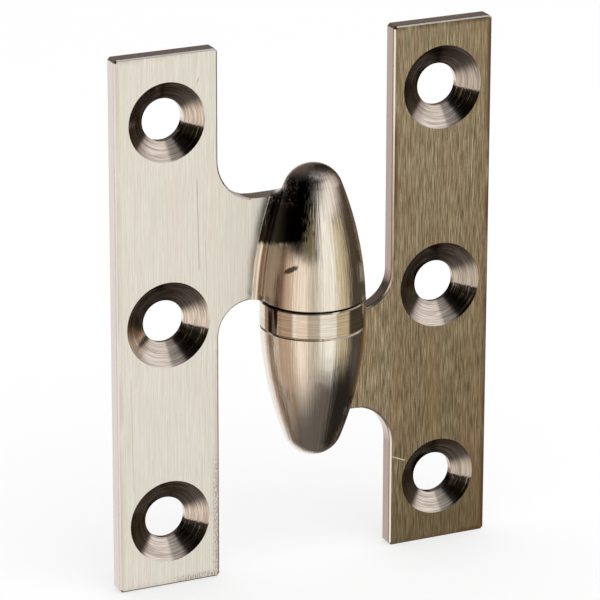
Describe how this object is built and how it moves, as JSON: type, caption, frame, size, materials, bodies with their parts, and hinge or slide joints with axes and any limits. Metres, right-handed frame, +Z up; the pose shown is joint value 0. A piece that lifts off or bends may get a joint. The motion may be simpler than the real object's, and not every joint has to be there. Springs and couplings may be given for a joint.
{
  "type": "olive knuckle hinge",
  "caption": "Lift-off hinge with two narrow countersunk leaves on necks that join the halves of an olive-shaped knuckle, parted by a bearing ring.",
  "frame": {"origin": "on the pivot axis, half way up the hinge, with the hinge lying flat open", "axes": "+Z up the pivot axis towards the upper half of the olive, -Y out of the countersunk faces of both leaves, +X from the upper half's leaf towards the lower half's leaf"},
  "size_m": [0.047, 0.0122, 0.0636],
  "materials": {
    "upper_leaf_metal": "antique nickel plate on brass, brushed lengthways and lacquered",
    "lower_leaf_metal": "antique nickel plate on brass, brushed lengthways and lacquered",
    "ring_metal": "antique nickel plate on brass, brushed round its edge",
    "pin_steel": "ground and lightly greased"
  },
  "bodies": {
    "lower_leaf": {"lower_leaf": "lower_leaf_metal"},
    "hinge_pin": {"hinge_pin": "pin_steel"},
    "upper_leaf": {"upper_leaf": "upper_leaf_metal"},
    "bearing_ring": {"bearing_ring": "ring_metal"}
  },
  "joints": [
    {"name": "leaf_swing", "type": "hinge", "parent": "lower_leaf", "child": "hinge_pin", "pos_m": [0, 0, 0], "axis": [0, 0, 1], "range_deg": [-135, 180]},
    {"name": "leaf_lift", "type": "slide", "parent": "hinge_pin", "child": "upper_leaf", "axis": [0, 0, 1], "range_m": [0, 0.012]},
    {"name": "ring_spin", "type": "hinge", "parent": "lower_leaf", "child": "bearing_ring", "pos_m": [0, 0, 0], "axis": [0, 0, 1], "continuous": true}
  ]
}
